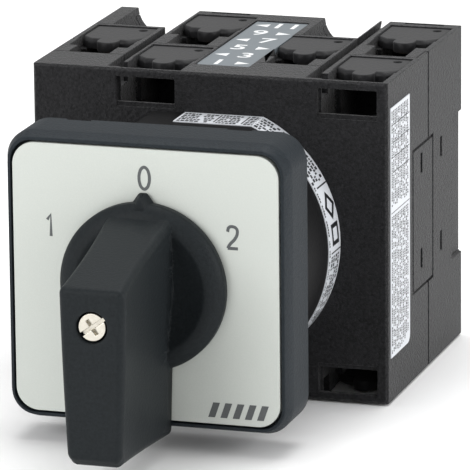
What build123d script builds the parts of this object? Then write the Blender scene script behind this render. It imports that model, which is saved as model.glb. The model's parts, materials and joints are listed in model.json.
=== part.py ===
from build123d import *
import math
import os

# Rotary transfer switch for a panel.  Millimetres.
# Origin: on the shaft axis, in the plane of the panel's front face.
# +X to the operator's right, +Y into the cabinet, +Z up.

# Front frame and legend plate, in front of the panel
FRAME_SIZE = 48.0
FRAME_CORNER = 4.8
FRAME_DEPTH = 10.9
FRAME_BEVEL_IN = 0.9
FRAME_BEVEL_LONG = 2.4
FRAME_WALL = 2.0
FRAME_FLOOR = 2.0
FRAME_BORDER = 1.25
LEGEND_THICK = 1.6
LEGEND_GAP = 0.15
NOTCH_CENTRES = (-14.45, 12.8)
NOTCH_WIDTH = 3.8
NOTCH_DEEP = 0.7
NOTCH_IN = 1.2
FRAME_RIB = 1.2
PANEL_GAP = 3.0

# Screws that clamp the panel between frame and switch body
PANEL_SCREW_SPACING = 28.0
PANEL_SCREW_R = 2.0
PANEL_SCREW_HEAD_R = 3.5
PANEL_SCREW_HEAD = 2.2
PANEL_SCREW_GRIP = 12.0

# Knob
KNOB_GAP = 0.3
KNOB_R = 13.9
KNOB_RIM = 1.55
KNOB_DISH_R = 10.9
KNOB_CROWN = 3.35
KNOB_DISH = 2.0
KNOB_FRONT = 27.2
HANDLE_RIDGE = 6.1
HANDLE_SLOPE_END = 12.4
HANDLE_DROP = 22.9
HANDLE_HEEL = 24.7
HANDLE_HALVES_LOW = (4.3, 4.2, 4.3)
HANDLE_HALVES_MIDDLE = (5.5, 4.7, 5.2)
HANDLE_HALVES_TOP = (5.6, 5.5, 5.9)
HANDLE_ROUND = 1.2
HANDLE_FOOT_ROUND = 1.4
POINTER_BEVEL = 1.0
POINTER_TIP = 15.3
POINTER_HALF = 3.0
HUB_R = 5.6
HUB_GAP = 0.6
KNOB_SCREW_R = 1.5
KNOB_SCREW_HEAD_R = 2.25
KNOB_SCREW_HEAD = 2.6
KNOB_SCREW_SUNK = 3.0

# Shaft
SHAFT_SIDE = 6.0
SHAFT_FIT = 0.03
RUNNING_FIT = 0.05

# Detent mechanism in its round collar
COLLAR_R = 22.5
COLLAR_FLAT = 20.4
COLLAR_FRONT_WALL = 4.0
DETENT_CAVITY_R = 12.5
DETENT_POCKET_HALF = 3.6
DETENT_POCKET_REACH = 20.5
DETENT_COVER = 2.0
DETENT_COVER_R = 20.0
STAR_TIP_R = 8.6
STAR_NOTCH_R = 2.2
STAR_NOTCH_AT = 9.6
STAR_POINTS = 6
STAR_HUB_R = 5.5
ROLLER_R = 1.75
ROLLER_CLEAR = 0.2
SLIDER_LONG = 3.8
LABEL_THICK = 0.15
RING_LABEL_LONG = 6.8
RING_LABEL_START = -4.0

# Contact housing behind the collar
HOUSING_FRONT = 23.2
HOUSING_WIDTH = 61.4
HOUSING_HEIGHT = 54.6
FRONT_WALL = 3.2
UNITS = 3
UNIT_PITCH = 12.5
END_PLATE = 6.1
END_RIM = 1.2
END_SIDE_STEP = 0.5
LAP_LONG = 5.1
LAP_THICK = 0.6
JOINT_WIDE = 0.46
JOINT_DEEP = 0.35
REAR_SKIN = 2.4
EDGE_CHAMFER = 0.45
CORE_HALF = 12.3
CORE_ROOF = 1.5
SIDE_WALL = 2.0
PARTITION = 1.2
SHAFT_HOLE_R = 6.0
SEAM = 0.06

# Terminal columns, above and below the core
INNER_COLUMN = 10.4
INNER_HALF = 6.0
OUTER_HALF = 6.35
COLUMN_SLOT_DEEP = 3.3
PIT_HALF = 5.2
NECK_HALF = 3.55
NECK_LONG = 6.1
LID_FRONT = 5.6
LID_LONG = 10.2
LID_HALF = 5.3
LID_THICK = 1.8
LID_SUNK = 0.2
LID_GAP = 0.1
LID_CORNER = 1.6
LID_SLOPE = 0.6
TONGUE_HALF = 1.9
TONGUE_REACH = 2.6
CHAMBER_HALF = 4.2
CHAMBER_LONG = 9.5
FLOOR_LOW = 0.4
FLOOR_HIGH = 5.7
PIT_FRONT_WALL = 1.0
TOWER_OVERHANG = 13.6
SHORT_OVERHANG = 11.0
TOWER_TAIL = 1.15
WINDOW_HALF = 5.1
WINDOW_SHIFT = -0.6
RIB_START = 3.9
FRONT_LIP = 1.4
WINDOW_BOTTOM = 6.4
WINDOW_TOP = 1.4
LEDGE_HIGH = 0.7
LEDGE_IN = 0.35
CHANNEL_R = 5.0
CHANNEL_RISE = 0.3
CHANNEL_SHIFT = 1.85
CHANNEL_INNER = 11.4
DRIVER_BORE_R = 2.2
DIMPLE_R = 0.7
REAR_SLOT_HALF = 3.4
REAR_SLOT = 0.6

# Terminals
CAGE_CLEAR = 0.15
CAGE_PLATE = 1.0
CAGE_FRONT = 7.7
CAGE_FRONT_PLATE = 0.8
CAGE_NUT_START = 0.8
CAGE_NUT = 1.8
CLAMP_AT = 2.2
CLAMP_THICK = 0.8
TERMINAL_SCREW_UP = 2.8
TERMINAL_SCREW_R = 1.6
TERMINAL_HEAD_R = 2.5
TERMINAL_HEAD = 2.2
TERMINAL_HEAD_AT = 6.0

# Switching contacts
TURN = 60.0
CAM_MEAN = 8.0
CAM_LIFT = 2.0
CAM_CLEAR = 0.15
CONTACT_SPARE = 0.1
CONTACT_MIDDLE = 6.85
LEG_X = 16.4
LEG_THICK = 1.2
LEG_HALF = 2.0
LEG_BOTTOM = 6.0
TIP_R = 1.8
TIP_THICK = 0.8
TIP_Z = 8.0
BRIDGE_THICK = 1.2
BRIDGE_HALF = 2.0
BRIDGE_REACH = 10.0
PLUNGER_HALF_Y = 3.5
PLUNGER_HALF_Z = 3.0
PLUNGER_NOSE = 0.4
PLUNGER_NOSE_LONG = 2.8
PLUNGER_TAIL = 3.0
SLIDE_CLEAR = 0.1
SPRING_R = 1.6
SPRING_WIRE_R = 0.25
SPRING_TURNS = 4
SPRING_POCKET_R = 2.3
SPRING_POCKET = 2.2
GUIDE_LONG = 4.0

# Screws through the whole stack, labels and number strips
TIE_Z = 17.2
TIE_R = 1.9
TIE_HEAD_R = 3.4
TIE_HEAD = 2.2
TIE_HOLD = 14.0
STRIP_LEFT = -4.4
STRIP_RIGHT = 4.9
STRIP_START = 29.7
STRIP_END = 65.0
STRIP_THICK = 1.0
STRIP_SUNK = 0.2
SIDE_LABEL_START = 1.5
SIDE_LABEL_END = 13.1
SIDE_LABEL_TOP = 22.8
SIDE_LABEL_BOTTOM = -19.7
SIDE_SLOT_LONG = 3.4
SIDE_SLOT_WIDE = 1.0
SIDE_SLOT_DEEP = 1.2

# Places worked out from the sizes above
HALF_WIDTH = HOUSING_WIDTH / 2
HALF_HEIGHT = HOUSING_HEIGHT / 2
OUTER_COLUMN = HALF_WIDTH - OUTER_HALF
STACK_START = HOUSING_FRONT + FRONT_WALL
STACK_END = STACK_START + UNITS * UNIT_PITCH
HOUSING_REAR = STACK_END + END_PLATE
SKIN_FRONT = HOUSING_REAR - REAR_SKIN
FRAME_FLOOR_FRONT = -FRAME_DEPTH + LEGEND_THICK
FRAME_FLOOR_REAR = FRAME_FLOOR_FRONT + FRAME_FLOOR
KNOB_REAR = -FRAME_DEPTH - KNOB_GAP
KNOB_FACE = -FRAME_DEPTH - KNOB_FRONT
SHAFT_FRONT = KNOB_FACE + KNOB_SCREW_SUNK + 5.3
SHAFT_REAR = HOUSING_REAR - 1.5
COLLAR_CAVITY_START = PANEL_GAP + COLLAR_FRONT_WALL
COLLAR_CAVITY_END = HOUSING_FRONT - DETENT_COVER
PAD_X = LEG_X + LEG_THICK + TIP_THICK
BRIDGE_TIP_X = PAD_X + CAM_LIFT + CONTACT_SPARE
BRIDGE_X = BRIDGE_TIP_X + TIP_THICK
PLUNGER_END = BRIDGE_X + BRIDGE_THICK + PLUNGER_TAIL
CAGE_HALF = NECK_HALF - CAGE_CLEAR
SIDES = (1, -1)


def block(x_low, x_high, y_low, y_high, z_low, z_high):
    """A box between two corners, whichever order each pair is given in."""
    size = Box(abs(x_high - x_low), abs(y_high - y_low), abs(z_high - z_low))
    return Pos((x_low + x_high) / 2, (y_low + y_high) / 2, (z_low + z_high) / 2) * size


def rod(radius, y_low, y_high, x=0.0, z=0.0):
    """A cylinder along Y."""
    return Pos(x, (y_low + y_high) / 2, z) * Rot(90, 0, 0) * Cylinder(radius, y_high - y_low)


def along_y(outline, y_low, y_high):
    """An outline drawn in X and Z, carried from y_low to y_high."""
    plane = Plane((0, y_high, 0), x_dir=(1, 0, 0), z_dir=(0, -1, 0))
    return extrude(plane * outline, amount=y_high - y_low)


def rounded_slab(side, corner, y_low, y_high):
    return along_y(RectangleRounded(side, side, corner), y_low, y_high)


def joined(shapes):
    whole = shapes[0]
    for shape in shapes[1:]:
        whole = whole + shape
    return whole


def coil(length, radius, wire_r, turns):
    """A compression spring along +X from the origin, with its wire inside the length."""
    path = Helix((length - 2 * wire_r) / turns, length - 2 * wire_r, radius)
    wire = sweep(Plane(origin=path @ 0, z_dir=path % 0) * Circle(wire_r), path=path)
    return Rot(0, 90, 0) * Pos(0, 0, wire_r) * wire


def panel_screw_places():
    half = PANEL_SCREW_SPACING / 2
    return [(x * half, z * half) for x in SIDES for z in SIDES]


def unit_start(unit):
    return STACK_START + unit * UNIT_PITCH


def lid_start(unit):
    return unit_start(unit) + LID_FRONT


def contact_middle(unit):
    return unit_start(unit) + CONTACT_MIDDLE


def terminal_x(unit, side):
    """Units alternate between the inner and the outer column, so that towers clear each other."""
    outer = (side > 0) == (unit % 2 == 0)
    return side * (OUTER_COLUMN if outer else INNER_COLUMN)


def terminal_floor(unit):
    """The first unit's terminals lie deeper, so that their driver bores pass under the last unit."""
    return CORE_HALF + (FLOOR_LOW if unit == 0 else FLOOR_HIGH)


def tower_front(unit):
    if unit == 0:
        return HOUSING_FRONT
    return lid_start(unit) - (SHORT_OVERHANG if unit == 1 else TOWER_OVERHANG)


def tower_span(unit):
    """A tower ends where the next tower in its own column starts, two units further back."""
    if unit == UNITS - 1:
        rear = HOUSING_REAR
    elif unit + 2 < UNITS:
        rear = tower_front(unit + 2)
    else:
        rear = lid_start(unit) + LID_LONG + TOWER_TAIL
    return tower_front(unit), rear


# --- Front: frame, legend plate, screws and seal ---------------------------------------------

def front_frame():
    bevel_start = FRAME_BEVEL_LONG - FRAME_DEPTH
    body = rounded_slab(FRAME_SIZE, FRAME_CORNER, bevel_start, 0)
    face = Plane((0, bevel_start, 0), x_dir=(1, 0, 0), z_dir=(0, -1, 0))
    outline = face * RectangleRounded(FRAME_SIZE, FRAME_SIZE, FRAME_CORNER)
    slope = math.degrees(math.atan(FRAME_BEVEL_IN / FRAME_BEVEL_LONG))
    body += extrude(outline, amount=FRAME_BEVEL_LONG, taper=slope)
    opening = FRAME_SIZE - 2 * FRAME_BORDER
    body -= rounded_slab(opening, FRAME_CORNER - 0.8, -FRAME_DEPTH, FRAME_FLOOR_FRONT)
    cavity = FRAME_SIZE - 2 * FRAME_WALL
    hollow = rounded_slab(cavity, FRAME_CORNER - FRAME_WALL, FRAME_FLOOR_REAR, 0)
    hollow -= rod(HUB_R + HUB_GAP + FRAME_WALL, FRAME_FLOOR_REAR, -0.5)
    boss_r = PANEL_SCREW_HEAD_R + 1.9
    for x, z in panel_screw_places():
        hollow -= rod(boss_r, FRAME_FLOOR_REAR, -0.5, x, z)
    hollow -= block(-FRAME_RIB / 2, FRAME_RIB / 2, FRAME_FLOOR_REAR, -2, -cavity / 2, cavity / 2)
    hollow -= block(-cavity / 2, cavity / 2, FRAME_FLOOR_REAR, -2, -FRAME_RIB / 2, FRAME_RIB / 2)
    body -= hollow
    body -= rod(HUB_R + HUB_GAP, FRAME_FLOOR_FRONT, 0)
    for x, z in panel_screw_places():
        body -= rod(PANEL_SCREW_HEAD_R + 0.3, FRAME_FLOOR_FRONT, FRAME_FLOOR_FRONT + 2.5, x, z)
        body -= rod(PANEL_SCREW_R + 0.15, FRAME_FLOOR_FRONT, 0, x, z)
    for centre in NOTCH_CENTRES:
        for side in SIDES:
            edge = side * FRAME_SIZE / 2
            low = centre - NOTCH_WIDTH / 2
            body -= block(low, low + NOTCH_WIDTH, -NOTCH_DEEP, 0, edge - side * NOTCH_IN, edge)
    return body


def legend_plate():
    side = FRAME_SIZE - 2 * FRAME_BORDER - 2 * LEGEND_GAP
    plate = rounded_slab(side, FRAME_CORNER - 0.8 - LEGEND_GAP, -FRAME_DEPTH, FRAME_FLOOR_FRONT)
    return plate - rod(HUB_R + HUB_GAP, -FRAME_DEPTH, FRAME_FLOOR_FRONT)


def panel_screws():
    head_start = FRAME_FLOOR_FRONT + 2.5 - PANEL_SCREW_HEAD
    head_end = FRAME_FLOOR_FRONT + 2.5
    screws = []
    for x, z in panel_screw_places():
        screw = rod(PANEL_SCREW_HEAD_R, head_start, head_end, x, z)
        screw += rod(PANEL_SCREW_R, head_end, PANEL_GAP + PANEL_SCREW_GRIP, x, z)
        screw -= block(x - 2.2, x + 2.2, head_start, head_start + 0.9, z - 0.4, z + 0.4)
        screw -= block(x - 0.4, x + 0.4, head_start, head_start + 0.9, z - 2.2, z + 2.2)
        screws.append(screw)
    return Compound(screws)


def shaft_seal():
    start = FRAME_FLOOR_FRONT + 1.3
    outer = rod(HUB_R + HUB_GAP, start, start + 1.5)
    return outer - rod(HUB_R + RUNNING_FIT, start, start + 1.5)


# --- Rotor: knob, its screw, shaft, detent star and cams --------------------------------------

def knob_disc():
    rim = KNOB_REAR - KNOB_RIM
    crown = KNOB_REAR - KNOB_CROWN
    dish = KNOB_REAR - KNOB_DISH
    low = Polyline((0, KNOB_REAR), (KNOB_R - 0.3, KNOB_REAR), (KNOB_R, KNOB_REAR - 0.3), (KNOB_R, rim))
    shoulder = ThreePointArc((KNOB_R, rim), (KNOB_R - 1.1, crown + 0.6), (KNOB_DISH_R, crown))
    scoop = ThreePointArc((KNOB_DISH_R, crown), (KNOB_DISH_R - 2.8, dish - 0.4), (HUB_R, dish))
    inside = Polyline((HUB_R, dish), (0, dish), (0, KNOB_REAR))
    return revolve(make_face([low, shoulder, scoop, inside]), Axis.Y)


def beside_handle(halves, root, height):
    """The air beside the handle at one height: its inner edge is the handle's hollowed side."""
    front, waist, back = halves
    ends = (KNOB_FACE - 0.1, root + 0.1)
    far = HANDLE_HALVES_TOP[2] + 5
    side = ThreePointArc((front, ends[0]), (waist, sum(ends) / 2), (back, ends[1]))
    outside = Polyline((back, ends[1]), (far, ends[1]), (far, ends[0]), (front, ends[0]))
    return Pos(0, 0, height) * make_face([side, outside])


def handle():
    root = KNOB_REAR - 0.7
    side_view = Polygon(
        (KNOB_FACE, HANDLE_RIDGE),
        (KNOB_FACE, 1.5 - HANDLE_DROP),
        (KNOB_FACE + 1.5, -HANDLE_DROP),
        (root, -HANDLE_HEEL),
        (root, HANDLE_SLOPE_END),
        (KNOB_REAR - KNOB_CROWN, HANDLE_SLOPE_END - 0.8),
        align=None,
    )
    bar = extrude(Plane.YZ * side_view, amount=HANDLE_HALVES_TOP[2] + 3, both=True)
    beside = loft([
        beside_handle(HANDLE_HALVES_LOW, root, -HANDLE_HEEL - 1),
        beside_handle(HANDLE_HALVES_MIDDLE, root, 0),
        beside_handle(HANDLE_HALVES_TOP, root, HANDLE_SLOPE_END + 1),
    ])
    bar = bar - beside - mirror(beside, about=Plane.YZ)
    front = bar.edges().filter_by(lambda edge: abs(edge.center().Y - KNOB_FACE) < 0.01)
    slope_middle = (KNOB_FACE + root) / 2
    slope = bar.edges().filter_by(lambda edge: abs(edge.center().Y - slope_middle) < 4 and abs(edge.center().X) > 3
                                  and edge.center().Z > HANDLE_RIDGE)
    bar = fillet(list(front) + list(slope), HANDLE_ROUND)
    foot = bar.edges().filter_by(lambda edge: edge.center().Z < 0.3 - HANDLE_DROP and abs(edge.center().X) > 3)
    return fillet(foot, HANDLE_FOOT_ROUND)


def pointer():
    tip_front = KNOB_REAR - KNOB_RIM - POINTER_BEVEL
    outline = Polygon((-POINTER_HALF, HANDLE_SLOPE_END - 1), (POINTER_HALF, HANDLE_SLOPE_END - 1),
                      (0, POINTER_TIP), align=None)
    arrow = along_y(outline, tip_front, KNOB_REAR - 0.1)
    slants = arrow.edges().filter_by(lambda edge: abs(edge.center().Y - tip_front) < 0.01 and abs(edge.center().X) > 0.1)
    return chamfer(slants, POINTER_BEVEL)


def knob():
    body = knob_disc() + handle() + pointer()
    hub_rear = FRAME_FLOOR_REAR + 3.3
    body += rod(HUB_R, KNOB_REAR - 1, hub_rear)
    socket = SHAFT_SIDE / 2 + SHAFT_FIT
    body -= block(-socket, socket, SHAFT_FRONT - 0.2, hub_rear, -socket, socket)
    body -= rod(KNOB_SCREW_HEAD_R + 0.3, KNOB_FACE, KNOB_FACE + KNOB_SCREW_SUNK)
    body -= rod(KNOB_SCREW_R + 0.15, KNOB_FACE, SHAFT_FRONT)
    return body


def knob_screw():
    head_end = KNOB_FACE + KNOB_SCREW_SUNK
    head_start = head_end - KNOB_SCREW_HEAD
    screw = rod(KNOB_SCREW_HEAD_R, head_start, head_end) + rod(KNOB_SCREW_R, head_end, SHAFT_FRONT + 9)
    slot = block(-2.3, 2.3, head_start, head_start + 0.9, -0.3, 0.3)
    slot += block(-0.3, 0.3, head_start, head_start + 0.9, -1.4, 1.4)
    return screw - Rot(0, -36, 0) * slot


def switch_shaft():
    half = SHAFT_SIDE / 2
    shaft = block(-half, half, SHAFT_FRONT, SHAFT_REAR, -half, half)
    return shaft - rod(KNOB_SCREW_R, SHAFT_FRONT, SHAFT_FRONT + 10)


def shaft_socket(y_low, y_high):
    half = SHAFT_SIDE / 2 + SHAFT_FIT
    return block(-half, half, y_low, y_high, -half, half)


def detent_star():
    front = PANEL_GAP + 0.4
    star_start = COLLAR_CAVITY_START + 1
    star_end = COLLAR_CAVITY_END - 1.2
    rear = HOUSING_FRONT - 0.2
    star = rod(STAR_TIP_R, star_start, star_end)
    for point in range(STAR_POINTS):
        angle = math.radians(90 + point * 360 / STAR_POINTS)
        x = STAR_NOTCH_AT * math.sin(angle)
        z = STAR_NOTCH_AT * math.cos(angle)
        star -= rod(STAR_NOTCH_R, star_start, star_end, x, z)
    star += rod(STAR_HUB_R, front, star_start) + rod(STAR_HUB_R, star_end, rear)
    return star - shaft_socket(front, rear)


def cam(unit):
    """Rises at an even rate over the whole turn, so that each plunger follows it in proportion."""
    def point(degrees, radius):
        angle = math.radians(degrees)
        return (radius * math.sin(angle), radius * math.cos(angle))

    start = 90 - TURN
    top = CAM_MEAN + CAM_LIFT
    bottom = CAM_MEAN - CAM_LIFT
    steps = 12
    ramp = []
    for step in range(steps + 1):
        degrees = start + 2 * TURN * step / steps
        ramp.append(point(degrees, top - 2 * CAM_LIFT * step / steps))
    left = [(-x, z) for x, z in ramp]
    outline = make_face([
        ThreePointArc(left[0], (0, top), ramp[0]),
        Spline(ramp),
        ThreePointArc(ramp[-1], (0, -bottom), left[-1]),
        Spline(left[::-1]),
    ])
    y_low = unit_start(unit) + PARTITION + 0.6
    y_high = unit_start(unit) + UNIT_PITCH - 0.5
    return along_y(outline, y_low, y_high) - shaft_socket(y_low, y_high)


def rear_bush():
    start = STACK_END + 0.3
    end = SHAFT_REAR + 0.3
    return rod(STAR_HUB_R, start, end) - shaft_socket(start, SHAFT_REAR)


# --- Collar with the detent mechanism ---------------------------------------------------------

def collar_outline(extra=0.0):
    disc = Circle(COLLAR_R + extra)
    return disc & Rectangle(3 * COLLAR_R, 2 * (COLLAR_FLAT + extra))


def detent_housing():
    body = along_y(collar_outline(), PANEL_GAP, HOUSING_FRONT)
    body -= rod(STAR_HUB_R + RUNNING_FIT, PANEL_GAP, COLLAR_CAVITY_START)
    body -= rod(DETENT_CAVITY_R, COLLAR_CAVITY_START, COLLAR_CAVITY_END)
    reach = DETENT_POCKET_REACH
    body -= block(-reach, reach, COLLAR_CAVITY_START, COLLAR_CAVITY_END, -DETENT_POCKET_HALF, DETENT_POCKET_HALF)
    body -= rod(DETENT_COVER_R, COLLAR_CAVITY_END, HOUSING_FRONT)
    for x, z in panel_screw_places():
        body -= rod(PANEL_SCREW_R, PANEL_GAP, PANEL_GAP + PANEL_SCREW_GRIP + 1, x, z)
    for side in SIDES:
        body -= rod(TIE_R, HOUSING_FRONT - TIE_HOLD - 1, HOUSING_FRONT, 0, side * TIE_Z)
    return body


def detent_cover():
    plate = rod(DETENT_COVER_R - 0.1, COLLAR_CAVITY_END, HOUSING_FRONT)
    plate -= rod(STAR_HUB_R + RUNNING_FIT, COLLAR_CAVITY_END, HOUSING_FRONT)
    for side in SIDES:
        plate -= rod(TIE_R + 0.1, COLLAR_CAVITY_END, HOUSING_FRONT, 0, side * TIE_Z)
    return plate


def roller_x():
    return STAR_TIP_R + ROLLER_R + ROLLER_CLEAR


def detent_rollers():
    low = COLLAR_CAVITY_START + 1.5
    high = COLLAR_CAVITY_END - 1.8
    return Compound([rod(ROLLER_R, low, high, side * roller_x()) for side in SIDES])


def detent_sliders():
    low = COLLAR_CAVITY_START + 0.8
    high = COLLAR_CAVITY_END - 0.8
    sliders = []
    for side in SIDES:
        near = side * (roller_x() + 0.3)
        body = block(near, near + side * SLIDER_LONG, low, high, 0.2 - DETENT_POCKET_HALF, DETENT_POCKET_HALF - 0.2)
        sliders.append(body - rod(ROLLER_R + SLIDE_CLEAR, low, high, side * roller_x()))
    return Compound(sliders)


def detent_springs():
    start = roller_x() + 0.3 + SLIDER_LONG
    middle = (COLLAR_CAVITY_START + COLLAR_CAVITY_END) / 2
    spring = Pos(start, middle, 0) * coil(DETENT_POCKET_REACH - start, SPRING_R, SPRING_WIRE_R, SPRING_TURNS)
    return Compound([spring, mirror(spring, about=Plane.YZ)])


def ring_label():
    start = HOUSING_FRONT - RING_LABEL_LONG
    band = along_y(collar_outline(LABEL_THICK), start, HOUSING_FRONT - 0.1)
    band -= along_y(collar_outline(), start, HOUSING_FRONT - 0.1)
    reach = COLLAR_R + 2
    return band & block(RING_LABEL_START, reach, start, HOUSING_FRONT, -reach, reach)


# --- Contact units ----------------------------------------------------------------------------

def conductor_slots():
    """Room in the housings for each fixed contact's leg and for its web out to the terminal."""
    slots = []
    for unit in range(UNITS):
        middle = contact_middle(unit)
        y_low = middle - LEG_HALF - SLIDE_CLEAR
        y_high = middle + LEG_HALF + SLIDE_CLEAR
        top = terminal_floor(unit) + CAGE_PLATE + 0.2
        for side in SIDES:
            inner = side * (LEG_X - SLIDE_CLEAR)
            outer = side * (LEG_X + LEG_THICK + SLIDE_CLEAR)
            for up in SIDES:
                leg = block(inner, outer, y_low, y_high, up * (CORE_HALF - CORE_ROOF - 1), up * top)
                web_far = terminal_x(unit, side)
                web = block(inner, web_far, y_low, y_high, up * (top - CAGE_PLATE - 0.2), up * top)
                web += block(outer, web_far, y_low, y_high, up * (top - CAGE_PLATE - 0.2), up * top)
                slots.append(leg + web)
    return joined(slots)


def driver_bores():
    """Straight ways from the rear to every terminal screw, narrower than the screw's head."""
    bores = []
    for unit in range(UNITS):
        height = terminal_floor(unit) + TERMINAL_SCREW_UP
        for side in SIDES:
            for up in SIDES:
                start = lid_start(unit) + CHAMBER_LONG - 0.5
                bores.append(rod(DRIVER_BORE_R, start, HOUSING_REAR + 1, terminal_x(unit, side), up * height))
    return joined(bores)


def rear_channels():
    """Half-round ways, open above, that lead a screwdriver to the middle unit's screws."""
    start = tower_span(1)[1]
    centre = HALF_HEIGHT + CHANNEL_RISE
    channels = []
    for x in (CHANNEL_INNER, CHANNEL_SHIFT - OUTER_COLUMN):
        for up in SIDES:
            channels.append(rod(CHANNEL_R, start, HOUSING_REAR + 1, x, up * centre))
    return joined(channels)


def tie_holes(y_low, y_high):
    return joined([rod(TIE_R + 0.1, y_low, y_high, 0, side * TIE_Z) for side in SIDES])


def column_span(x):
    half = OUTER_HALF if abs(x) > INNER_COLUMN + 0.1 else INNER_HALF
    side = math.copysign(1, x)
    low = abs(x) - half
    high = abs(x) + half
    return side * low, side * high


def column_left(x):
    return min(column_span(x))


def column_block(x, y_low, y_high, up):
    low, high = column_span(x)
    return block(low, high, y_low, y_high, up * CORE_HALF, up * HALF_HEIGHT)


def slot_web(side, y_low, y_high, up):
    """The low wall between an inner and an outer column, which leaves a narrow slot above it."""
    inner = side * (INNER_COLUMN + INNER_HALF)
    outer = side * (OUTER_COLUMN - OUTER_HALF)
    return block(inner, outer, y_low, y_high, up * CORE_HALF, up * (HALF_HEIGHT - COLUMN_SLOT_DEEP))


def slot_front(side, up):
    """The front wall runs on across the narrow slot."""
    inner = side * (INNER_COLUMN + INNER_HALF)
    outer = side * (OUTER_COLUMN - OUTER_HALF)
    return block(inner, outer, HOUSING_FRONT, HOUSING_FRONT + FRONT_LIP, up * CORE_HALF, up * HALF_HEIGHT)


def unit_lap():
    """How far back the first unit's right wall laps over the last unit's."""
    rear = tower_span(0)[1]
    return rear - 1, rear + LAP_LONG


def side_lap(up, y_low, y_high, gap=0.0):
    inner = HALF_WIDTH - LAP_THICK - gap
    return block(inner, HALF_WIDTH, y_low, y_high, up * CORE_HALF, up * (HALF_HEIGHT + gap))


def terminal_cut(unit, side, up):
    """Wire pit, screw chamber and seat for the lid of one terminal."""
    x = terminal_x(unit, side)
    lid = lid_start(unit)
    front, rear = tower_span(unit)
    floor = terminal_floor(unit)
    pit_front = front + (PIT_FRONT_WALL if unit == 0 else 0.0)
    if unit == UNITS - 1:
        pit_front = front + 0.5
    open_top = up * (HALF_HEIGHT + 1)
    wide_front = max(pit_front, lid - NECK_LONG)
    cut = block(x - PIT_HALF, x + PIT_HALF, wide_front, lid, up * floor, open_top)
    if unit > 0:
        cut += block(x - NECK_HALF, x + NECK_HALF, pit_front - SEAM, lid, up * floor, open_top)
    else:
        cut += block(x - PIT_HALF, x + PIT_HALF, pit_front, lid, up * floor, open_top)
    lid_floor = HALF_HEIGHT - LID_SUNK - LID_THICK
    cut += block(x - CHAMBER_HALF, x + CHAMBER_HALF, lid - 1, lid + CHAMBER_LONG, up * floor, up * (lid_floor + 1))
    seat_half = LID_HALF + LID_GAP
    cut += block(x - seat_half, x + seat_half, lid - 0.5, lid + LID_LONG + LID_GAP, up * lid_floor, open_top)
    if unit == 0:
        window_low = up * (HALF_HEIGHT - WINDOW_BOTTOM)
        window_high = up * (HALF_HEIGHT - WINDOW_TOP)
        centre = x + WINDOW_SHIFT
        ledge = window_low + up * LEDGE_HIGH
        left, right = centre - WINDOW_HALF, centre + WINDOW_HALF
        cut += block(left, right, HOUSING_FRONT - 1, HOUSING_FRONT + LEDGE_IN, window_low, window_high)
        cut += block(left, right, HOUSING_FRONT, pit_front, ledge, window_high)
        notch_end = pit_front + RIB_START
        slot_floor = up * (HALF_HEIGHT - COLUMN_SLOT_DEEP)
        cut += block(column_left(x) - 0.1, x, HOUSING_FRONT + FRONT_LIP, notch_end, slot_floor, open_top)
    return cut


def core(unit):
    """The middle of one unit: a tray with a partition in front and guides for its two plungers."""
    start = unit_start(unit)
    end = start + UNIT_PITCH - SEAM
    body = block(-HALF_WIDTH, HALF_WIDTH, start, end, -CORE_HALF, CORE_HALF)
    roof = CORE_HALF - CORE_ROOF
    wall = HALF_WIDTH - SIDE_WALL
    body -= block(-wall, wall, start + PARTITION, end, -roof, roof)
    guide_near = LEG_X - 0.9
    for side in SIDES:
        for up in SIDES:
            near = side * (guide_near - GUIDE_LONG)
            low = up * (PLUNGER_HALF_Z + SLIDE_CLEAR)
            body += block(near, side * guide_near, start + PARTITION, end, low, up * (roof + 0.5))
    body -= rod(SHAFT_HOLE_R, start, start + PARTITION)
    return body


def side_slots():
    slots = []
    for unit in range(1, UNITS):
        middle = unit_start(unit) + 5.3
        for side in SIDES:
            for height in (9.1, -7.4):
                low = height - SIDE_SLOT_LONG / 2
                inside = side * (HALF_WIDTH - SIDE_SLOT_DEEP)
                y_low = middle - SIDE_SLOT_WIDE / 2
                slots.append(block(inside, side * (HALF_WIDTH + 1), y_low, y_low + SIDE_SLOT_WIDE,
                                   low, low + SIDE_SLOT_LONG))
    return joined(slots)


def joint_grooves():
    """Shallow grooves in the two side walls that show where one moulding ends and the next starts."""
    half = JOINT_WIDE / 2
    lines = []
    joints = [unit_start(unit) - SEAM / 2 for unit in range(1, UNITS)] + [STACK_END]
    for joint in joints:
        lines.append((joint - half, joint + half, -CORE_HALF - half, CORE_HALF + half))
    for up in SIDES:
        step = up * CORE_HALF
        lines.append((joints[0], joints[1], step - half, step + half))
        lines.append((joints[-1], HOUSING_REAR + 1, step - half, step + half))
    grooves = []
    for side in SIDES:
        inside = side * (HALF_WIDTH - JOINT_DEEP)
        outside = side * (HALF_WIDTH + 1)
        for line in lines:
            grooves.append(block(inside, outside, *line))
        tower_joint = tower_span(0)[1] - SEAM / 2 if side < 0 else unit_lap()[1] + SEAM / 2
        for up in SIDES:
            grooves.append(block(inside, outside, tower_joint - half, tower_joint + half,
                                 up * (CORE_HALF - half), up * (HALF_HEIGHT + 1)))
    return joined(grooves)


def centre_rib(y_low, y_high, up):
    half = INNER_COLUMN - INNER_HALF
    return block(-half, half, y_low, y_high, up * CORE_HALF, up * HALF_HEIGHT)


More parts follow.
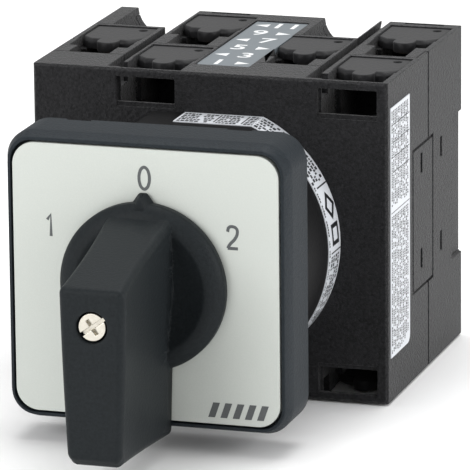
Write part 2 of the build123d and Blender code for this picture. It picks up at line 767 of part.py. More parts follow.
def unit_towers(unit, up):
    """What one unit puts above (or below) its core."""
    front, rear = tower_span(unit)
    rear -= SEAM if unit < UNITS - 1 else 0.0
    pieces = []
    for side in SIDES:
        pieces.append(column_block(terminal_x(unit, side), front, rear, up))
    if unit == 0:
        short_rear = tower_span(1)[0] - SEAM
        for side in SIDES:
            pieces.append(column_block(terminal_x(1, side), front, short_rear, up))
            pieces.append(slot_web(side, front, rear, up))
            pieces.append(slot_front(side, up))
        pieces.append(side_lap(up, unit_lap()[0], unit_lap()[1]))
        pieces.append(centre_rib(front, unit_start(1) - SEAM, up))
    elif unit == UNITS - 1:
        block_front = tower_span(1)[1]
        for side in SIDES:
            pieces.append(column_block(terminal_x(1, side), block_front, rear, up))
            pieces.append(slot_web(side, front, rear, up))
        pieces.append(centre_rib(unit_start(unit), rear, up))
    else:
        pieces.append(centre_rib(unit_start(unit), unit_start(unit + 1) - SEAM, up))
    return pieces


def contact_block(unit):
    pieces = [core(unit)]
    for up in SIDES:
        pieces += unit_towers(unit, up)
    body = joined(pieces)
    if unit == 0:
        wall = block(-HALF_WIDTH, HALF_WIDTH, HOUSING_FRONT, STACK_START, -CORE_HALF, CORE_HALF)
        body += wall - rod(SHAFT_HOLE_R, HOUSING_FRONT, STACK_START)
    for side in SIDES:
        for up in SIDES:
            body -= terminal_cut(unit, side, up)
    if unit == 0:
        front_edges = body.edges().filter_by(lambda edge: abs(edge.center().Y - HOUSING_FRONT) < 0.01)
        outline = [edge for edge in front_edges if abs(abs(edge.center().X) - HALF_WIDTH) < 0.01
                   or abs(abs(edge.center().Z) - HALF_HEIGHT) < 0.01]
        body = chamfer(outline, EDGE_CHAMFER)
    if unit == UNITS - 1:
        body -= end_seat(0.0)
        for up in SIDES:
            body -= side_lap(up, unit_lap()[0], unit_lap()[1] + SEAM, SEAM)
        for side in SIDES:
            for up in SIDES:
                body -= rear_slot(side, up)
    body -= conductor_slots()
    body -= driver_bores()
    body -= rear_channels()
    body -= side_slots()
    body -= joint_grooves()
    body -= tie_holes(HOUSING_FRONT - 1, HOUSING_REAR + 1)
    return body


def end_seat(gap):
    """The space inside the last unit's rim that the end plate fills, less a gap all round."""
    wide = HALF_WIDTH - END_RIM - gap
    high = HALF_HEIGHT - END_RIM - gap
    return block(-wide, wide, SKIN_FRONT + gap, HOUSING_REAR, -high, high)


def rear_slot(side, up):
    x = terminal_x(UNITS - 1, side)
    y_low = HOUSING_REAR - 2 * REAR_SLOT
    low = up * (HALF_HEIGHT - END_RIM / 2)
    return block(x - REAR_SLOT_HALF, x + REAR_SLOT_HALF, y_low, y_low + REAR_SLOT, low, up * (HALF_HEIGHT + 1))


def end_plate():
    side = HALF_WIDTH - END_SIDE_STEP
    core_half = CORE_HALF - SEAM
    body = block(-side, side, STACK_END, HOUSING_REAR, -core_half, core_half) + end_seat(SEAM)
    body -= rod(STAR_HUB_R + RUNNING_FIT, STACK_END, SHAFT_REAR + 0.5)
    body -= driver_bores()
    body -= rear_channels()
    body -= tie_holes(SKIN_FRONT - 1, HOUSING_REAR)
    body -= joint_grooves()
    for up in SIDES:
        body -= rod(TIE_HEAD_R + 0.2, HOUSING_REAR - TIE_HEAD, HOUSING_REAR, 0, up * TIE_Z)
    return body


def terminal_lids(unit):
    lids = []
    start = lid_start(unit)
    for side in SIDES:
        x = terminal_x(unit, side)
        for up in SIDES:
            high = up * (HALF_HEIGHT - LID_SUNK)
            low = up * (HALF_HEIGHT - LID_SUNK - LID_THICK)
            lid = block(x - LID_HALF, x + LID_HALF, start, start + LID_LONG, low, high)
            corners = lid.edges().filter_by(Axis.Z).sort_by(Axis.Y)[:2]
            lid = chamfer(corners, LID_CORNER)
            brim = lid.faces().sort_by(Axis.Z)[-1 if up > 0 else 0].edges()
            lid = chamfer(brim.filter_by(lambda edge: edge.center().Y < start + LID_CORNER), LID_SLOPE)
            nose = start - TONGUE_REACH + TONGUE_HALF
            lid += block(x - TONGUE_HALF, x + TONGUE_HALF, nose, start + 1, low, high)
            lid += Pos(x, nose, (low + high) / 2) * Cylinder(TONGUE_HALF, LID_THICK)
            dimple = Pos(x + LID_HALF - 2, start + LID_LONG - 1.8, high) * Cylinder(DIMPLE_R, LID_THICK)
            lids.append(lid - dimple)
    return Compound(lids)


# --- Contacts, plungers and springs -----------------------------------------------------------

def fixed_contact(unit, side, up):
    """A cage terminal with its leg down to the silver pad, from one stamped strip."""
    x = terminal_x(unit, side)
    lid = lid_start(unit)
    base = terminal_floor(unit) + 0.1
    top = base + CAGE_PLATE
    height = terminal_floor(unit) + TERMINAL_SCREW_UP
    cage = block(x - CAGE_HALF, x + CAGE_HALF, lid - CAGE_FRONT, lid + CAGE_NUT_START + CAGE_NUT, up * base, up * top)
    front_end = lid - CAGE_FRONT + CAGE_FRONT_PLATE
    cage += block(x - CAGE_HALF, x + CAGE_HALF, lid - CAGE_FRONT, front_end, up * base, up * (height + 2.4))
    nut_start = lid + CAGE_NUT_START
    nut = block(x - CAGE_HALF, x + CAGE_HALF, nut_start, nut_start + CAGE_NUT, up * base, up * (height + 2.4))
    cage += nut - rod(TERMINAL_SCREW_R, nut_start, nut_start + CAGE_NUT, x, up * height)
    middle = contact_middle(unit)
    leg_far = side * (LEG_X + LEG_THICK)
    near = side * LEG_X
    leg = block(near, leg_far, middle - LEG_HALF, middle + LEG_HALF, up * LEG_BOTTOM, up * top)
    web = block(near, x, middle - LEG_HALF, middle + LEG_HALF, up * base, up * top)
    web += block(leg_far, x, middle - LEG_HALF, middle + LEG_HALF, up * base, up * top)
    pad_x = side * (LEG_X + LEG_THICK + TIP_THICK / 2)
    pad = Pos(pad_x, middle, up * TIP_Z) * Rot(0, 90, 0) * Cylinder(TIP_R, TIP_THICK)
    body = cage + leg + web + pad
    return body - rod(TERMINAL_SCREW_R, nut_start, nut_start + CAGE_NUT, x, up * height)


def fixed_contacts(unit):
    return Compound([fixed_contact(unit, side, up) for side in SIDES for up in SIDES])


def terminal_places():
    return [(unit, side, up) for unit in range(UNITS) for side in SIDES for up in SIDES]


def terminal_screws():
    screws = []
    for unit, side, up in terminal_places():
        x = terminal_x(unit, side)
        z = up * (terminal_floor(unit) + TERMINAL_SCREW_UP)
        head = lid_start(unit) + TERMINAL_HEAD_AT
        screw = rod(TERMINAL_SCREW_R, lid_start(unit) - CLAMP_AT + CLAMP_THICK, head, x, z)
        screw += rod(TERMINAL_HEAD_R, head, head + TERMINAL_HEAD, x, z)
        slot_end = head + TERMINAL_HEAD
        screw -= block(x - 1.9, x + 1.9, slot_end - 0.9, slot_end, z - 0.35, z + 0.35)
        screw -= block(x - 0.35, x + 0.35, slot_end - 0.9, slot_end, z - 1.5, z + 1.5)
        screws.append(screw)
    return Compound(screws)


def wire_clamps():
    clamps = []
    for unit, side, up in terminal_places():
        x = terminal_x(unit, side)
        low = terminal_floor(unit) + 0.1 + CAGE_PLATE + SLIDE_CLEAR
        high = terminal_floor(unit) + TERMINAL_SCREW_UP + 2.2
        y_low = lid_start(unit) - CLAMP_AT
        clamps.append(block(x - CAGE_HALF + 0.2, x + CAGE_HALF - 0.2, y_low, y_low + CLAMP_THICK, up * low, up * high))
    return Compound(clamps)


def plunger(unit, side):
    tip = CAM_MEAN + CAM_CLEAR
    shoulder = tip + PLUNGER_NOSE_LONG
    outline = Polygon(
        (tip, -PLUNGER_NOSE), (shoulder, -PLUNGER_HALF_Z), (PLUNGER_END, -PLUNGER_HALF_Z),
        (PLUNGER_END, PLUNGER_HALF_Z), (shoulder, PLUNGER_HALF_Z), (tip, PLUNGER_NOSE), align=None,
    )
    middle = contact_middle(unit)
    body = along_y(outline, middle - PLUNGER_HALF_Y, middle + PLUNGER_HALF_Y)
    window = BRIDGE_HALF + SLIDE_CLEAR
    x_low = BRIDGE_X - SLIDE_CLEAR
    x_high = BRIDGE_X + BRIDGE_THICK + SLIDE_CLEAR
    body -= block(x_low, x_high, middle - window, middle + window, -PLUNGER_HALF_Z - 1, PLUNGER_HALF_Z + 1)
    pocket = Pos(PLUNGER_END - SPRING_POCKET / 2, middle, 0) * Rot(0, 90, 0)
    body -= pocket * Cylinder(SPRING_POCKET_R, SPRING_POCKET)
    return body if side > 0 else mirror(body, about=Plane.YZ)


def contact_bridge(unit, side):
    middle = contact_middle(unit)
    bar = block(BRIDGE_X, BRIDGE_X + BRIDGE_THICK, middle - BRIDGE_HALF, middle + BRIDGE_HALF,
                -BRIDGE_REACH, BRIDGE_REACH)
    for up in SIDES:
        tip = Pos(BRIDGE_TIP_X + TIP_THICK / 2, middle, up * TIP_Z) * Rot(0, 90, 0)
        bar += tip * Cylinder(TIP_R, TIP_THICK)
    return bar if side > 0 else mirror(bar, about=Plane.YZ)


def contact_spring(unit, side):
    start = PLUNGER_END - SPRING_POCKET
    length = HALF_WIDTH - SIDE_WALL - start
    spring = Pos(start, contact_middle(unit), 0) * coil(length, SPRING_R, SPRING_WIRE_R, SPRING_TURNS)
    return spring if side > 0 else mirror(spring, about=Plane.YZ)


# --- Tie screws, labels and number strips -----------------------------------------------------

def tie_screws():
    screws = []
    for side in SIDES:
        z = side * TIE_Z
        head = HOUSING_REAR - TIE_HEAD
        screw = rod(TIE_R, HOUSING_FRONT - TIE_HOLD, head, 0, z) + rod(TIE_HEAD_R, head, HOUSING_REAR - 0.1, 0, z)
        screw -= block(-2.2, 2.2, HOUSING_REAR - 1, HOUSING_REAR, z - 0.4, z + 0.4)
        screw -= block(-0.4, 0.4, HOUSING_REAR - 1, HOUSING_REAR, z - 2.2, z + 2.2)
        screws.append(screw)
    return Compound(screws)


def number_strip(up):
    high = up * (HALF_HEIGHT - STRIP_SUNK)
    low = up * (HALF_HEIGHT - STRIP_SUNK - STRIP_THICK)
    strip = block(STRIP_LEFT, STRIP_RIGHT, STRIP_START, STRIP_END, low, high)
    corners = strip.edges().filter_by(Axis.Z).sort_by(Axis.Y)[:2]
    return fillet(corners, 1.6)


def strip_relief(up):
    """The shallow seat that a number strip lies in."""
    low = up * (HALF_HEIGHT - STRIP_SUNK - STRIP_THICK)
    return block(STRIP_LEFT - 0.1, STRIP_RIGHT + 0.1, STRIP_START - 0.1, STRIP_END + 0.1, low, up * (HALF_HEIGHT + 1))


def side_label():
    start = HOUSING_FRONT + SIDE_LABEL_START
    end = HOUSING_FRONT + SIDE_LABEL_END
    label = block(HALF_WIDTH, HALF_WIDTH + LABEL_THICK, start, end, SIDE_LABEL_BOTTOM, SIDE_LABEL_TOP)
    corner = label.edges().filter_by(Axis.X).sort_by(lambda edge: edge.center().Z - edge.center().Y)[0]
    return fillet(corner, 1.5)


def save(name, shape):
    shape.label = name
    export_step(shape, "parts/" + name + ".step")


os.makedirs("parts", exist_ok=True)
save("front_frame", front_frame())
save("legend_plate", legend_plate())
save("panel_screws", panel_screws())
save("shaft_seal", shaft_seal())
save("knob", knob())
save("knob_screw", knob_screw())
save("switch_shaft", switch_shaft())
save("detent_star", detent_star())
save("rear_bush", rear_bush())
save("detent_housing", detent_housing())
save("detent_cover", detent_cover())
save("detent_rollers", detent_rollers())
save("detent_sliders", detent_sliders())
save("detent_springs", detent_springs())
save("ring_label", ring_label())
for unit in range(UNITS):
    number = str(unit + 1)
    housing = contact_block(unit)
    for up in SIDES:
        housing -= strip_relief(up)
    save("contact_block_" + number, housing)
    save("terminal_lids_" + number, terminal_lids(unit))
    save("fixed_contacts_" + number, fixed_contacts(unit))
    save("cam_" + number, cam(unit))
    for side, hand in ((1, "right"), (-1, "left")):
        tail = "_" + hand + "_" + number
        save("plunger" + tail, plunger(unit, side))
        save("bridge" + tail, contact_bridge(unit, side))
        save("contact_spring" + tail, contact_spring(unit, side))
save("end_plate", end_plate())
save("terminal_screws", terminal_screws())
save("wire_clamps", wire_clamps())
save("tie_screws", tie_screws())
save("number_strip_top", number_strip(1))
save("number_strip_bottom", number_strip(-1))
save("side_label", side_label())
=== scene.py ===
import json
import math
import random

import bmesh
import bpy
from mathutils import Matrix, Vector

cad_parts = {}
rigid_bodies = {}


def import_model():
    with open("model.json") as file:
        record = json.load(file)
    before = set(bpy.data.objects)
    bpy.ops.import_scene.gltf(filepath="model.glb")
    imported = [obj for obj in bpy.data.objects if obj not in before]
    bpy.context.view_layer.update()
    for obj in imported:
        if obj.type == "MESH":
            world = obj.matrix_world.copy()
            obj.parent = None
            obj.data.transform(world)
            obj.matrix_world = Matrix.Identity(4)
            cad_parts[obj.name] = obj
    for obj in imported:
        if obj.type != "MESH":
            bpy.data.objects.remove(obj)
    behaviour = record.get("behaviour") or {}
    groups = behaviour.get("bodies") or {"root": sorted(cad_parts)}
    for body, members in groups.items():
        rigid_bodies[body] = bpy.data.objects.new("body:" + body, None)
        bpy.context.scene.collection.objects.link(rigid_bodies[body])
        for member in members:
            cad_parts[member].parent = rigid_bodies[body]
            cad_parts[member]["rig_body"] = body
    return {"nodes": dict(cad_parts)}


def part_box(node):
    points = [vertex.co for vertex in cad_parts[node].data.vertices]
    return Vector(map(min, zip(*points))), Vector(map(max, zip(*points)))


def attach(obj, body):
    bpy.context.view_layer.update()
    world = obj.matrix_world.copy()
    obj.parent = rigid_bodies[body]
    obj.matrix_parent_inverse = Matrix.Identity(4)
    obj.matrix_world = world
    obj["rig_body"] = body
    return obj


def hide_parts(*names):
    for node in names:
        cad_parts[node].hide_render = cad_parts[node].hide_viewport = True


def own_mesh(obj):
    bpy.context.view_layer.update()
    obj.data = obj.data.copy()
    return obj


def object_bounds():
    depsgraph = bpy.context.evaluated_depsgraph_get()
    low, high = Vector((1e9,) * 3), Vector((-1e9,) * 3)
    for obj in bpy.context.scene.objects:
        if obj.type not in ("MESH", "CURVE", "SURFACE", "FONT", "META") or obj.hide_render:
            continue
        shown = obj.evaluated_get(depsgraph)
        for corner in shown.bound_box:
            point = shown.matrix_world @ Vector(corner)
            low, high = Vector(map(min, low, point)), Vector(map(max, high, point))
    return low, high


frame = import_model()
cad_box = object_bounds()
scene = bpy.context.scene

# --- Studio -----------------------------------------------------------------------------------
# A pale painted floor just under the switch, a white room, and three soft lights: a large one
# on the left for the front, one on the right for the side of the housing, and one overhead.

MM = 0.001


def linear(hex_colour):
    """An sRGB hex colour as linear red, green, blue and alpha."""
    parts = [int(hex_colour[i:i + 2], 16) / 255 for i in (0, 2, 4)]
    return tuple(c / 12.92 if c <= 0.04045 else ((c + 0.055) / 1.055) ** 2.4 for c in parts) + (1.0,)


def add_node(tree, kind, settings=None, links=None):
    """Adds one node: settings name its properties or its inputs, links name what feeds an input."""
    made = tree.nodes.new(kind)
    for name, value in (settings or {}).items():
        if hasattr(made, name):
            setattr(made, name, value)
        else:
            made.inputs[name].default_value = value
    for name, source in (links or {}).items():
        tree.links.new(source, made.inputs[name])
    return made


def new_material(name):
    made = bpy.data.materials.new(name)
    made.use_nodes = True
    made.node_tree.nodes.clear()
    return made, made.node_tree


def new_piece(name, shape, material, smooth=None):
    """Makes an object of a bmesh; smooth is the angle in degrees past which an edge stays sharp."""
    mesh = bpy.data.meshes.new(name)
    shape.to_mesh(mesh)
    shape.free()
    piece = bpy.data.objects.new(name, mesh)
    scene.collection.objects.link(piece)
    mesh.materials.append(material)
    if smooth is not None:
        mesh.shade_smooth()
        mesh.set_sharp_from_angle(angle=math.radians(smooth))
    return piece


def painted_floor():
    made, tree = new_material("matt_studio_paint")
    place = add_node(tree, "ShaderNodeTexCoord")
    mottle = add_node(tree, "ShaderNodeTexNoise", {"Scale": 30.0}, {"Vector": place.outputs["Object"]})
    tone = add_node(tree, "ShaderNodeMix", {"data_type": "RGBA", "A": linear("F6F6F6"), "B": linear("FAFAFA")},
                    {"Factor": mottle.outputs["Fac"]})
    skin = add_node(tree, "ShaderNodeBsdfPrincipled", {"Roughness": 0.7}, {"Base Color": tone.outputs["Result"]})
    add_node(tree, "ShaderNodeOutputMaterial", None, {"Surface": skin.outputs["BSDF"]})
    return made


def studio_floor():
    shape = bmesh.new()
    bmesh.ops.create_grid(shape, x_segments=1, y_segments=1, size=3.0)
    bmesh.ops.translate(shape, verts=shape.verts, vec=(0, 0, cad_box[0][2] - 0.3 * MM))
    new_piece("studio_floor", shape, painted_floor())


def soft_light(name, place, size, power):
    lamp = bpy.data.lights.new(name, "AREA")
    lamp.shape = "DISK"
    lamp.size = size
    lamp.energy = power
    light = bpy.data.objects.new(name, lamp)
    light.location = place
    middle_of_switch = Vector((0, 0.02, 0))
    light.rotation_euler = (middle_of_switch - Vector(place)).to_track_quat("-Z", "Y").to_euler()
    scene.collection.objects.link(light)


def white_room(strength):
    world = bpy.data.worlds.new("white_room")
    world.use_nodes = True
    world.node_tree.nodes["Background"].inputs["Color"].default_value = linear("FFFFFF")
    world.node_tree.nodes["Background"].inputs["Strength"].default_value = strength
    scene.world = world


def studio_camera():
    data = bpy.data.cameras.new("studio_camera")
    data.lens = 416.0
    data.sensor_width = 36.0
    data.shift_x = 0.0027
    data.shift_y = -0.0167
    data.clip_start = 0.05
    camera = bpy.data.objects.new("studio_camera", data)
    right = Vector((0.9546, 0.2978, -0.0095))
    up = Vector((-0.065, 0.2392, 0.9688))
    back = right.cross(up).normalized()
    turn = Matrix((right, up, back)).transposed()
    camera.matrix_world = Matrix.Translation(Vector((266.2, -809.6, 224.6)) * MM) @ turn.to_4x4()
    scene.collection.objects.link(camera)
    scene.camera = camera


studio_floor()
soft_light("front_left_light", (-0.55, -0.9, 0.45), 0.8, 7.0)
soft_light("side_light", (1.1, -0.05, 0.35), 0.8, 7.0)
soft_light("top_light", (0.0, 0.25, 1.1), 0.9, 9.0)
white_room(0.62)
studio_camera()
scene.view_settings.view_transform = "Standard"

# --- Contact housings and end plate ------------------------------------------------------------
# Three stacked housings and the plate that closes them, moulded in black glass-filled polyamide
# with a spark-eroded grain, and clamped together by two long screws.

HOUSING_EDGE = 0.13
SHARP_CORNER = 32
WELD = 0.001
CLOUD_SIZE = 14.0
PIT_SHARE = 0.75
GLOSS_SPREAD = 0.07


def moulded_plastic(name, dark, light, painted_highlight, roughness, shine, grain, depth, bloom=0.0):
    """Injection-moulded plastic: the grain of the mould (in mm) mottles the tone and dents the
    surface, the bevelled edges are painted in a lighter colour as a painted highlight, and bloom is the
    dusty look that glass fibre gives a face seen at a low angle."""
    made, tree = new_material(name)
    place = add_node(tree, "ShaderNodeTexCoord").outputs["Object"]
    pits = add_node(tree, "ShaderNodeTexNoise", {"Scale": 1 / (grain * MM), "Detail": 2.0, "Roughness": 0.7},
                    {"Vector": place})
    cloud = add_node(tree, "ShaderNodeTexNoise", {"Scale": 1 / (CLOUD_SIZE * MM), "Detail": 3.0}, {"Vector": place})
    spread = add_node(tree, "ShaderNodeMapRange", {"From Min": 0.3, "From Max": 0.7},
                      {"Value": pits.outputs["Fac"]})
    blend = add_node(tree, "ShaderNodeMath", {"operation": "MULTIPLY_ADD"})
    blend.inputs[1].default_value = PIT_SHARE
    tree.links.new(spread.outputs["Result"], blend.inputs[0])
    drift = add_node(tree, "ShaderNodeMath", {"operation": "MULTIPLY"})
    drift.inputs[1].default_value = 1 - PIT_SHARE
    tree.links.new(cloud.outputs["Fac"], drift.inputs[0])
    tree.links.new(drift.outputs["Value"], blend.inputs[2])
    tone = add_node(tree, "ShaderNodeMix", {"data_type": "RGBA", "A": linear(dark), "B": linear(light)},
                    {"Factor": blend.outputs["Value"]})
    # The bevel faces that softened() marks take the third, lighter colour: a painted highlight on the edges.
    edge = add_node(tree, "ShaderNodeAttribute", {"attribute_name": "painted_edge_highlight"})
    colour = add_node(tree, "ShaderNodeMix", {"data_type": "RGBA", "B": linear(painted_highlight)},
                      {"Factor": edge.outputs["Fac"], "A": tone.outputs["Result"]})
    gloss = add_node(tree, "ShaderNodeMapRange",
                     {"To Min": roughness - GLOSS_SPREAD, "To Max": roughness + GLOSS_SPREAD},
                     {"Value": pits.outputs["Fac"]})
    dents = add_node(tree, "ShaderNodeBump", {"Strength": 1.0, "Distance": depth * MM},
                     {"Height": pits.outputs["Fac"]})
    skin = add_node(tree, "ShaderNodeBsdfPrincipled",
                    {"Specular IOR Level": shine, "Sheen Weight": bloom, "Sheen Roughness": 0.45},
                    {"Base Color": colour.outputs["Result"], "Roughness": gloss.outputs["Result"],
                     "Normal": dents.outputs["Normal"]})
    add_node(tree, "ShaderNodeOutputMaterial", None, {"Surface": skin.outputs["BSDF"]})
    return made


def softened(node, name, material, radius, segments=2, in_front_of=1.0, flatness=0.8, crease=50):
    """Stands for a CAD node with a copy of its mesh whose sharp outer edges are rounded off, where
    they are in front of a place along Y in metres.  Faces closer than flatness to one plane are
    joined first, and an edge stays a crease past that many degrees."""
    shape = bmesh.new()
    shape.from_mesh(frame["nodes"][node].data)
    bmesh.ops.remove_doubles(shape, verts=shape.verts, dist=WELD * MM)
    bmesh.ops.dissolve_limit(shape, angle_limit=math.radians(flatness), verts=shape.verts, edges=shape.edges)
    corners = [edge for edge in shape.edges
               if edge.is_convex and edge.calc_face_angle(0.0) > math.radians(SHARP_CORNER)
               and max(end.co.y for end in edge.verts) < in_front_of]
    made = bmesh.ops.bevel(shape, geom=corners, offset=radius * MM, offset_type="OFFSET", segments=segments,
                           profile=0.5, affect="EDGES", material=-1, clamp_overlap=False)
    # The bevel faces are marked for the material's lighter edge colour, which is a painted highlight.
    painted_highlight = shape.faces.layers.float.new("painted_edge_highlight")
    for face in made["faces"]:
        if face.is_valid:
            face[painted_highlight] = 1.0
    piece = new_piece(name, shape, material, smooth=crease)
    shading = piece.modifiers.new("even_shading", "WEIGHTED_NORMAL")
    shading.keep_sharp = True
    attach(piece, frame["nodes"][node]["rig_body"])
    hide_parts(node)
    return piece


# Black polyamide with glass fibre, moulded in a spark-eroded tool: a dull black that turns grey
# and speckled at a low angle.  The real grain is under 0.1 mm and is drawn coarser so that it shows.
glass_filled_polyamide = moulded_plastic("glass_filled_polyamide", "070708", "2A2A2C", "1E1E20",
                                         roughness=0.52, shine=0.12, grain=0.45, depth=0.32, bloom=0.14)
for node in ("contact_block_1", "contact_block_2", "contact_block_3", "end_plate"):
    softened(node, "moulded_" + node, glass_filled_polyamide, HOUSING_EDGE)

# --- Terminal lids -------------------------------------------------------------------------------
# Twelve small lids over the terminal screws, moulded in the same black polyamide with a smoother
# face, and snapped into the towers with a round tongue that reaches over the wire pit.

LID_EDGE = 0.22

# Unfilled black polyamide from a finer tool: slightly glossier and more even than the housings.
smooth_polyamide = moulded_plastic("smooth_black_polyamide", "141415", "222224", "2C2C2E",
                                   roughness=0.46, shine=0.2, grain=0.6, depth=0.05, bloom=0.06)
for unit in (1, 2, 3):
    lids = softened("terminal_lids_%d" % unit, "snap_lids_%d" % unit, smooth_polyamide, LID_EDGE)

# --- Detent collar -------------------------------------------------------------------------------
# The round housing of the detent, black polyamide with a smooth turned-looking wall and two flats,
# behind the panel.  Its star, sliders and bushes inside are natural white acetal; its cover is dull black.

COLLAR_EDGE = 0.2

# Black polyamide with a turned-looking matt wall, the darkest of the plastics.
dull_polyamide = moulded_plastic("dull_black_polyamide", "0C0C0D", "171718", "222223",
                                 roughness=0.5, shine=0.1, grain=0.6, depth=0.04)
softened("detent_housing", "moulded_detent_collar", dull_polyamide, COLLAR_EDGE)

# Natural acetal, moulded: waxy off-white with a low gloss.
white_acetal = moulded_plastic("natural_white_acetal", "C9C7BD", "D6D4CB", "E2E0D8",
                               roughness=0.38, shine=0.5, grain=0.9, depth=0.01)
inner_plastic = ["detent_star", "detent_sliders", "rear_bush", "cam_1", "cam_2", "cam_3"]
inner_plastic += ["plunger_%s_%d" % (hand, unit) for hand in ("right", "left") for unit in (1, 2, 3)]


def repaint(nodes, material):
    """A CAD node whose shape is right keeps it and takes a new finish."""
    for node in nodes:
        mesh = frame["nodes"][node].data
        mesh.materials.clear()
        mesh.materials.append(material)


repaint(inner_plastic, white_acetal)
repaint(["detent_cover"], dull_polyamide)

# --- Front frame -------------------------------------------------------------------------------
# The square frame in front of the panel, moulded in blue-grey polyamide with a fine matt grain.
# It is screwed through the panel and hides the screws under the legend plate.

FRAME_EDGE = 0.4

# Blue-grey polyamide, moulded matt: a shade lighter and bluer than the black behind it.  The grain is
# drawn coarser than the real one so that it shows.
matt_frame_plastic = moulded_plastic("matt_blue_grey_polyamide", "1A1F23", "262C31", "30363B",
                                     roughness=0.5, shine=0.14, grain=0.45, depth=0.12)
softened("front_frame", "moulded_front_frame", matt_frame_plastic, FRAME_EDGE, segments=3)

# --- Legend plate ------------------------------------------------------------------------------
# A flat plate of silvery painted polycarbonate pressed into the frame.  The figures and a plain
# mark of five slanted bars are screen-printed on it in grey ink.

PLATE_EDGE = 0.15
PLATE_FIT = 0.99
FIGURE_HIGH = 4.2
FIGURE_WIDE = 2.35
FIGURE_STROKE = 0.6
INK_THICK = 0.02
PLATE_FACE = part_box("legend_plate")[0].y
FLAKE_SIZE = 0.25


def painted_plate():
    """Clear polycarbonate painted silver on the face: pale, slightly green grey with a faint sparkle.
    The flakes of the paint are drawn coarser than the real ones so that they show."""
    made, tree = new_material("silver_painted_polycarbonate")
    place = add_node(tree, "ShaderNodeTexCoord").outputs["Object"]
    flake = add_node(tree, "ShaderNodeTexVoronoi", {"Scale": 1 / (FLAKE_SIZE * MM)}, {"Vector": place})
    cloud = add_node(tree, "ShaderNodeTexNoise", {"Scale": 1 / (20 * MM), "Detail": 2.0}, {"Vector": place})
    sparkle = add_node(tree, "ShaderNodeMix", {"data_type": "RGBA", "A": linear("BFC4BE"), "B": linear("C8CCC6")},
                       {"Factor": flake.outputs["Distance"]})
    tone = add_node(tree, "ShaderNodeMix", {"data_type": "RGBA", "B": linear("C4C8C3")},
                    {"Factor": cloud.outputs["Fac"], "A": sparkle.outputs["Result"]})
    gloss = add_node(tree, "ShaderNodeMapRange", {"To Min": 0.42, "To Max": 0.52}, {"Value": cloud.outputs["Fac"]})
    dents = add_node(tree, "ShaderNodeBump", {"Strength": 1.0, "Distance": 0.004 * MM},
                     {"Height": flake.outputs["Distance"]})
    skin = add_node(tree, "ShaderNodeBsdfPrincipled", {"Specular IOR Level": 0.2},
                    {"Base Color": tone.outputs["Result"], "Roughness": gloss.outputs["Result"],
                     "Normal": dents.outputs["Normal"]})
    add_node(tree, "ShaderNodeOutputMaterial", None, {"Surface": skin.outputs["BSDF"]})
    return made


def printing_ink(name, dark, light):
    """Screen-printed ink: slightly uneven cover with a soft gloss."""
    made, tree = new_material(name)
    place = add_node(tree, "ShaderNodeTexCoord").outputs["Object"]
    cover = add_node(tree, "ShaderNodeTexNoise", {"Scale": 1 / (0.5 * MM), "Detail": 3.0}, {"Vector": place})
    tone = add_node(tree, "ShaderNodeMix", {"data_type": "RGBA", "A": linear(dark), "B": linear(light)},
                    {"Factor": cover.outputs["Fac"]})
    gloss = add_node(tree, "ShaderNodeMapRange", {"To Min": 0.4, "To Max": 0.6}, {"Value": cover.outputs["Fac"]})
    skin = add_node(tree, "ShaderNodeBsdfPrincipled", {"Specular IOR Level": 0.4},
                    {"Base Color": tone.outputs["Result"], "Roughness": gloss.outputs["Result"]})
    add_node(tree, "ShaderNodeOutputMaterial", None, {"Surface": skin.outputs["BSDF"]})
    return made


def drawn_stroke(shape, points, closed=False, rounded=True):
    """Adds one pen stroke, drawn in X and Z about the origin, as a flat band of ink."""
    curve = bpy.data.curves.new("stroke", "CURVE")
    curve.dimensions = "3D"
    curve.bevel_depth = FIGURE_STROKE / 2 * MM
    curve.bevel_resolution = 1
    curve.use_fill_caps = True
    line = curve.splines.new("BEZIER" if rounded else "POLY")
    ends = line.bezier_points if rounded else line.points
    ends.add(len(points) - 1)
    for end, (x, z) in zip(ends, points):
        if rounded:
            end.co = (x * MM, 0, z * MM)
            end.handle_left_type = end.handle_right_type = "AUTO"
        else:
            end.co = (x * MM, 0, z * MM, 1)
    line.use_cyclic_u = closed
    line.resolution_u = 10
    pen = bpy.data.objects.new("stroke", curve)
    mesh = bpy.data.meshes.new_from_object(pen)
    shape.from_mesh(mesh)
    bpy.data.objects.remove(pen)
    bpy.data.curves.remove(curve)
    bpy.data.meshes.remove(mesh)


def figure(name, x, z, strokes):
    """One figure of the legend, its strokes in half-heights and half-widths of the figure."""
    shape = bmesh.new()
    half_wide = (FIGURE_WIDE - FIGURE_STROKE) / 2
    half_high = (FIGURE_HIGH - FIGURE_STROKE) / 2
    for points, closed, rounded in strokes:
        drawn_stroke(shape, [(px * half_wide, pz * half_high) for px, pz in points], closed, rounded)
    flat = INK_THICK / FIGURE_STROKE
    bmesh.ops.scale(shape, vec=(1, flat, 1), verts=shape.verts)
    bmesh.ops.translate(shape, vec=(x * MM, PLATE_FACE - INK_THICK / 2 * MM, z * MM), verts=shape.verts)
    piece = new_piece(name, shape, grey_ink, smooth=60)
    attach(piece, "switch_body")


plate = softened("legend_plate", "painted_legend_plate", painted_plate(), PLATE_EDGE)
plate.data.transform(Matrix.Diagonal((PLATE_FIT, 1, PLATE_FIT, 1)))
# Screen ink: dark grey, with a slightly uneven cover that keeps the figures from looking flat.
grey_ink = printing_ink("grey_screen_ink", "4C4F50", "585B5C")
turns = [math.radians(30 * step) for step in range(12)]
oval = [(math.sin(turn), math.cos(turn)) for turn in turns]
figure("figure_0", 0.0, 17.6, [(oval, True, True)])
figure("figure_1", -16.0, 8.8, [([(-0.6, 0.5), (0.1, 1.0), (0.1, -1.0)], False, False)])
swan = [(-0.95, 0.5), (-0.7, 0.9), (0, 1.0), (0.75, 0.82), (0.9, 0.42), (0.45, -0.1), (-0.55, -0.65), (-0.95, -1.0)]
figure("figure_2", 14.7, 8.8, [(swan, False, True), ([(-0.98, -1), (1, -1)], False, False)])

